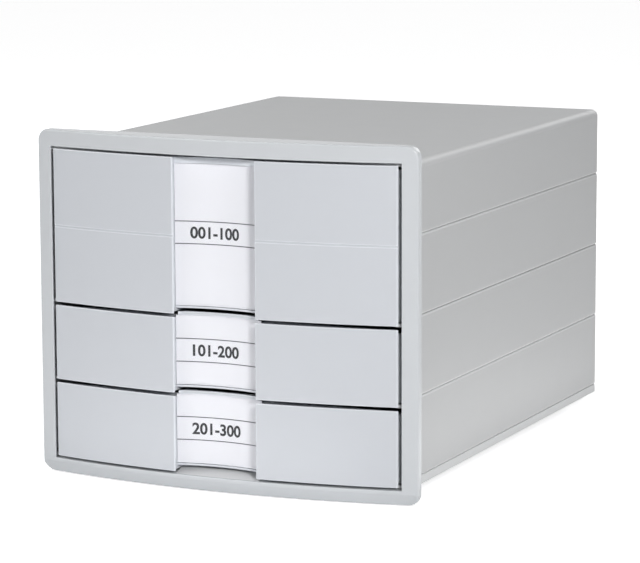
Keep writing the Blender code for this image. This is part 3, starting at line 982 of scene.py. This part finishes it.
def makeColumn(name, low, high, wingTop):
    look = frontLook
    side = shared["channelHalf"] + look["columnOverlap"]
    bm = bmesh.new()
    makePanel(bm, (-side, low), (side, high), look["columnEdge"], look["columnStations"],
              look["wall"], look["columnSkin"], False)
    bend(bm, lambda at: channelShift(at.x), look["bendReach"])
    column = toObject(name, bm)
    if high > wingTop:
        trims = bmesh.new()
        inner = shared["channelHalf"] - look["crestClearance"]
        for left, right in ((-side - look["overrun"], -inner), (inner, side + look["overrun"])):
            block(trims, (left, frontY, wingTop - look["wall"] / 2), (right, 0, high + look["overrun"]))
        column = joinAndCut(column, ("DIFFERENCE", toObject("crest_tool", trims)))
    return column


def makePocket(low, high):
    look = frontLook
    side = shared["channelHalf"] + look["slotDepth"]
    bm = bmesh.new()
    block(bm, (-side, frontY - look["overrun"], low), (side, frontY + look["pocketDepth"], high))
    slices(bm, toRight, evenly(-side, side, look["columnStations"])[1:-1])
    bend(bm, lambda at: channelShift(at.x))
    return toObject("pocket_tool", bm)


def makePegs(low, height, start, end, spare):
    look = frontLook
    bm = bmesh.new()
    for side in (-1, 1):
        x = side * (shared["channelHalf"] + look["wall"] / 2)
        for share in look["pegShares"]:
            z = low + share * height
            wide, tall = look["pegWidth"] / 2 + spare, look["pegHeight"] / 2 + spare
            block(bm, (x - wide, start, z - tall), (x + wide, end, z + tall))
    return toObject("peg_tool", bm)


def makeFront(drawer):
    look = frontLook
    low, wingTop, columnTop = frontLevels(drawer)
    labelLow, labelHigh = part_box(f"{drawer}_drawer_label_cover")
    pitch = joints[1] - joints[0]
    line = low + pitch - look["lineDrop"] if wingTop - low > pitch else 0
    piece = makeWing(f"{drawer}_front_panel", 1, low, wingTop, line)
    left = makeWing("left_wing_tool", -1, low, wingTop, line)
    column = makeColumn("column_tool", low + look["rise"], columnTop, wingTop)
    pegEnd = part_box(f"{drawer}_drawer_front")[1].y
    pegs = makePegs(low, wingTop - low, seatY - look["wall"] / 2, pegEnd, 0)
    spare = labelLook["taller"] + clearance
    pocket = makePocket(labelLow.z - spare, labelHigh.z + spare)
    joinAndCut(piece, ("UNION", left), ("UNION", column), ("DIFFERENCE", pocket), ("UNION", pegs))
    return dress(piece, frontPlastic, f"{drawer}_drawer", f"{drawer}_drawer_front")


for drawer in shared["drawers"]:
    makeFront(drawer)
print("drawer fronts made")


def makeBent(name, low, high, near0, far, edge):
    bm = bmesh.new()
    block(bm, (low.x, frontY + near0, low.z), (high.x, frontY + far, high.z))
    if edge:
        roundOff(bm, edgesAt(bm, lambda at: near(at.y, frontY + near0)), edge,
                 labelLook["coverSegments"])
    slices(bm, toRight, evenly(low.x, high.x, labelLook["stations"])[1:-1])
    bend(bm, lambda at: channelShift(at.x))
    return toObject(name, bm)


def makeNumber(drawer):
    look = labelLook
    curve = bpy.data.curves.new(f"{drawer}_label_number", "FONT")
    curve.body = look["numbers"][drawer]
    curve.offset = look["numberStroke"]
    curve.align_x = "CENTER"
    text = bpy.data.objects.new("number_text", curve)
    bpy.context.scene.collection.objects.link(text)
    bpy.context.view_layer.update()
    flat = bpy.data.meshes.new_from_object(text.evaluated_get(bpy.context.evaluated_depsgraph_get()))
    bpy.data.objects.remove(text, do_unlink=True)
    bm = bmesh.new()
    bm.from_mesh(flat)
    bpy.data.meshes.remove(flat)
    bmesh.ops.remove_doubles(bm, verts=bm.verts, dist=samePlace)
    low = min(vert.co.y for vert in bm.verts)
    high = max(vert.co.y for vert in bm.verts)
    left = min(vert.co.x for vert in bm.verts)
    right = max(vert.co.x for vert in bm.verts)
    scale = look["numberHeight"] / (high - low)
    bmesh.ops.translate(bm, verts=bm.verts, vec=(-(left + right) / 2, -(low + high) / 2, 0))
    bmesh.ops.scale(bm, verts=bm.verts, vec=(scale, scale, scale))
    bmesh.ops.rotate(bm, verts=bm.verts, cent=(0, 0, 0), matrix=Matrix.Rotation(math.pi / 2, 3, "X"))
    y = frontY + look["cardNear"] - look["numberRaise"]
    bmesh.ops.translate(bm, verts=bm.verts, vec=(look["numberShift"], y, look["numberMiddles"][drawer]))
    pull(bm, bm.faces[:], -toBack * look["numberThickness"], keep=True)
    bend(bm, lambda at: channelShift(at.x))
    piece = toObject(f"{drawer}_label_number", bm)
    return dress(piece, printingInk, f"{drawer}_drawer")


for drawer in shared["drawers"]:
    low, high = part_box(f"{drawer}_drawer_label_cover")
    low, high = low - toTop * labelLook["taller"], high + toTop * labelLook["taller"]
    body = f"{drawer}_drawer"
    cardFar = labelLook["cardNear"] + labelLook["cardThickness"]
    card = makeBent(f"{drawer}_label_paper", low, high, labelLook["cardNear"], cardFar, 0)
    dress(card, labelPaper, body, f"{drawer}_drawer_label_card")
    cover = makeBent(f"{drawer}_label_window", low, high, 0, labelLook["coverThickness"],
                     labelLook["coverEdge"])
    dress(cover, clearPlastic, body, f"{drawer}_drawer_label_cover")
    makeNumber(drawer)
print("labels made")

# Trays: open boxes with rounded corners, stop lugs and slots for the front's pegs
trayLook = {
    "sideClearance": 0.0025,
    "wall": 0.0020,
    "floor": 0.0020,
    "corner": 0.0040,
    "cornerSegments": 6,
    "rimRound": 0.0005,
    "floorRound": 0.0012,
    "innerRound": 0.0012,
    "lugLength": 0.0100,
    "lugHeight": 0.0100,
    "lugDrop": 0.0050,
}


# Edges at a height that border an upright face
def uprightEdges(bm, height):
    return [edge for edge in edgesAt(bm, lambda at: near(at.z, height))
            if any(abs(face.normal.z) < steepShare for face in edge.link_faces)]


def makeTray(drawer):
    look = trayLook
    low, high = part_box(f"{drawer}_drawer_tray")
    side = openingSide - look["sideClearance"]
    bm = bmesh.new()
    sheet(bm, (-side, low.y, low.z), (side, high.y, low.z))
    roundCorners(bm, look["corner"], look["cornerSegments"])
    inner = bm.faces[:]
    inset(bm, inner, look["wall"])
    raised = pull(bm, bm.faces[:], toTop * look["floor"], keep=True)
    inside = side - look["wall"]
    rim = []
    for face in raised:
        if not all(abs(vert.co.x) < inside + nudge for vert in face.verts) or len(face.verts) == 4:
            rim.append(face)
    pull(bm, rim, toTop * (high.z - low.z - look["floor"]))
    bmesh.ops.dissolve_faces(bm, faces=facesAt(bm, lambda at: near(at.z, low.z)))
    bmesh.ops.recalc_face_normals(bm, faces=bm.faces)
    levels = ((high.z, "rimRound", 2), (low.z, "floorRound", 3), (low.z + look["floor"], "innerRound", 3))
    rings = [uprightEdges(bm, height) for height, _, _ in levels]
    for edges, (_, size, segments) in zip(rings, levels):
        roundOff(bm, [edge for edge in edges if edge.is_valid], look[size], segments)
    piece = toObject(f"{drawer}_drawer_box", bm)
    travel = next(joint["range_m"][1] for joint in frame["joints"] if joint["child"] == f"{drawer}_drawer")
    start = seatY + travel + clearance
    lugs = bmesh.new()
    for near0, far in ((-high.x, look["wall"] / 2 - side), (side - look["wall"] / 2, high.x)):
        top = high.z - look["lugDrop"]
        block(lugs, (near0, start, top - look["lugHeight"]), (far, start + look["lugLength"], top))
    slotEnd = low.y + look["wall"] + frontLook["overrun"]
    wingLow, wingTop, _ = frontLevels(drawer)
    slots = makePegs(wingLow, wingTop - wingLow, seatY - look["wall"], slotEnd, clearance)
    joinAndCut(piece, ("UNION", toObject("lug_tool", lugs)), ("DIFFERENCE", slots))
    return dress(piece, trayPlastic, f"{drawer}_drawer", f"{drawer}_drawer_tray")


for drawer in shared["drawers"]:
    makeTray(drawer)
print("trays made")

# Studio: white floor and dome, five soft lamps, and two pale cards on the floor
studio = {
    "floorSize": 24.0,
    "floorColour": (0.84, 0.85, 0.86),
    "floorRoughness": 0.9,
    "floorGloss": 0.1,
    "floorGlow": (0.72, 0.92),   # near and far, for camera, mirrored and see-through rays
    "floorReach": (0.4, 1.6),
    "domeColour": (0.98, 0.99, 1.0),
    "domeStrength": 0.01,        # the dome's light, though it is seen as white
    "aim": (0.0, 0.0, 0.12),
    "lamps": {
        "key": {"turn": 42, "rise": 22, "away": 2.2, "size": (0.36, 0.36), "power": 29.3},
        "left": {"turn": -43, "rise": 20, "away": 2.4, "size": (1.6, 1.0), "power": 13.6},
        "sheen": {"turn": -69, "rise": 64, "away": 2.0, "size": (0.6, 0.6), "power": 9.0},
        "rear": {"turn": 172, "rise": 22, "away": 2.2, "size": (1.0, 0.5), "power": 6.0},
        "back left": {"turn": -127, "rise": 16, "away": 2.2, "size": (1.2, 1.0), "power": 6.0},
    },
    "cards": {
        "side card": {"place": (0.215, 0.06, 0.001), "size": (0.10, 0.48), "power": 0.15},
        "front card": {"place": (-0.07, -0.27, 0.001), "size": (0.34, 0.10), "power": 0.07},
    },
}


# Factor that is 1 for camera, mirrored and see-through rays, and 0 for the others
def whenSeen(nodes, links):
    rays = nodes.new("ShaderNodeLightPath")
    seen = rays.outputs["Is Camera Ray"]
    for kind in ("Is Glossy Ray", "Is Transmission Ray"):
        either = nodes.new("ShaderNodeMath")
        either.operation = "MAXIMUM"
        links.new(seen, either.inputs[0])
        links.new(rays.outputs[kind], either.inputs[1])
        seen = either.outputs["Value"]
    return seen


def makeFloor():
    material, nodes, links, shader = startMaterial("studio floor")
    shader.inputs["Base Color"].default_value = (*studio["floorColour"], 1)
    shader.inputs["Roughness"].default_value = studio["floorRoughness"]
    shader.inputs["Specular IOR Level"].default_value = studio["floorGloss"]
    shader.inputs["Emission Color"].default_value = (1, 1, 1, 1)
    place = nodes.new("ShaderNodeTexCoord")
    away = nodes.new("ShaderNodeVectorMath")
    away.operation = "LENGTH"
    links.new(place.outputs["Object"], away.inputs[0])
    glow = nodes.new("ShaderNodeMath")
    glow.operation = "MULTIPLY"
    links.new(whenSeen(nodes, links), glow.inputs[0])
    links.new(spread(nodes, links, away.outputs["Value"], *studio["floorGlow"], *studio["floorReach"]),
              glow.inputs[1])
    links.new(glow.outputs["Value"], shader.inputs["Emission Strength"])
    bm = bmesh.new()
    half = studio["floorSize"] / 2
    sheet(bm, (-half, -half, 0), (half, half, 0))
    mesh = bpy.data.meshes.new("studio_floor")
    bm.to_mesh(mesh)
    bm.free()
    floor = bpy.data.objects.new("studio_floor", mesh)
    floor.data.materials.append(material)
    bpy.context.scene.collection.objects.link(floor)


def makeDome():
    world = bpy.data.worlds.new("studio dome")
    world.use_nodes = True
    nodes, links = world.node_tree.nodes, world.node_tree.links
    sky = nodes["Background"]
    sky.inputs["Color"].default_value = (*studio["domeColour"], 1)
    strength = spread(nodes, links, whenSeen(nodes, links), studio["domeStrength"], 1.0)
    links.new(strength, sky.inputs["Strength"])
    bpy.context.scene.world = world


def addLamp(name, size, power, placing):
    data = bpy.data.lights.new(name, "AREA")
    data.shape = "RECTANGLE"
    data.size, data.size_y = size
    data.energy = power
    lamp = bpy.data.objects.new(name, data)
    lamp.matrix_world = placing
    bpy.context.scene.collection.objects.link(lamp)
    return lamp


def makeLamps():
    for name, look in studio["lamps"].items():
        turn, rise = math.radians(look["turn"]), math.radians(look["rise"])
        ray = Vector((math.sin(turn) * math.cos(rise), -math.cos(turn) * math.cos(rise), math.sin(rise)))
        addLamp(name, look["size"], look["power"],
                Matrix.Translation(Vector(studio["aim"]) + ray * look["away"])
                @ ray.to_track_quat("Z", "Y").to_matrix().to_4x4())
    for name, look in studio["cards"].items():
        up = Matrix.Translation(look["place"]) @ Matrix.Rotation(math.pi, 4, "X")
        lamp = addLamp(name, look["size"], look["power"], up)
        lamp.visible_camera = False


makeFloor()
makeDome()
makeLamps()
bpy.context.scene.view_settings.view_transform = "Standard"
print("studio lit")
